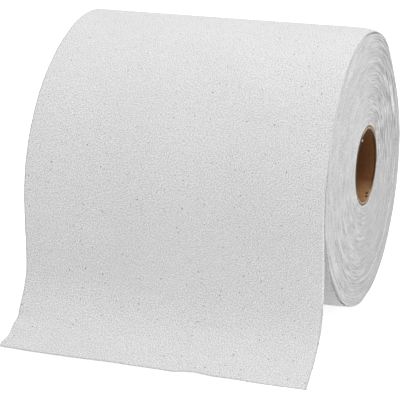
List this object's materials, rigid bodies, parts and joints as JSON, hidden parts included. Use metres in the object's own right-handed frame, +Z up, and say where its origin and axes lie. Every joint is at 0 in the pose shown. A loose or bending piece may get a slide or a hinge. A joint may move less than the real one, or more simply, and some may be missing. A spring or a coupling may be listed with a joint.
{
  "type": "paper towel roll",
  "caption": "Hard-wound paper towel roll on a board core, lying on its side with the free end of the web hanging over the front to the table.",
  "frame": {"origin": "middle of the core's bore, on the roll's axis", "axes": "+X along the roll's axis to the end face that the picture shows, -Y to the front, where the free end hangs, +Z up"},
  "size_m": [0.2036, 0.2395, 0.1875],
  "materials": {
    "core_board": "matt brown board, wound in plies",
    "towel_paper": "matt pale grey towel with a fine grain and sparse specks"
  },
  "bodies": {
    "root": {"core": "core_board", "towel_web": "towel_paper"}
  },
  "joints": []
}
